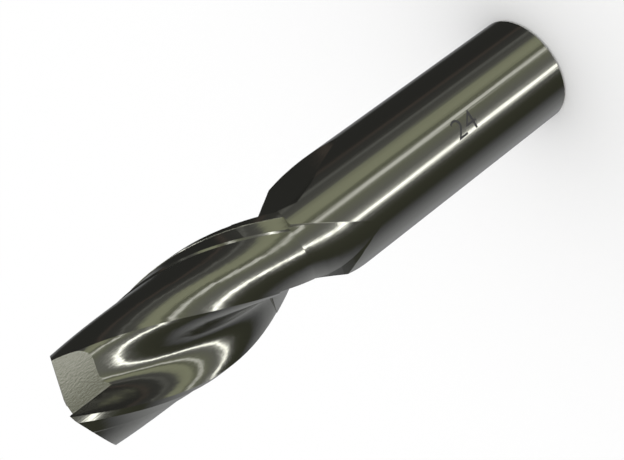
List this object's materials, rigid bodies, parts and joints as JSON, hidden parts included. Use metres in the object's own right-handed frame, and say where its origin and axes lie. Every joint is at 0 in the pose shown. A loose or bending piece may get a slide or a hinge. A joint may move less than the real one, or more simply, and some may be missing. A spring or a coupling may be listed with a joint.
{
  "type": "slot drill",
  "caption": "Slot drill in high speed steel: plain cylindrical shank, right-hand helical flutes with long wheel run-outs, and end teeth that cut over centre.",
  "frame": {"origin": "centre of the shank's flat back face", "axes": "+Z along the tool's axis from the shank to the cutting end; the first end tooth's corner is 95.4 degrees clockwise from +X seen from the cutting end, close to -Y"},
  "size_m": [0.025, 0.025, 0.121],
  "materials": {
    "tool_steel": "ground and polished"
  },
  "bodies": {
    "root": {"slot_drill": "tool_steel"}
  },
  "joints": []
}
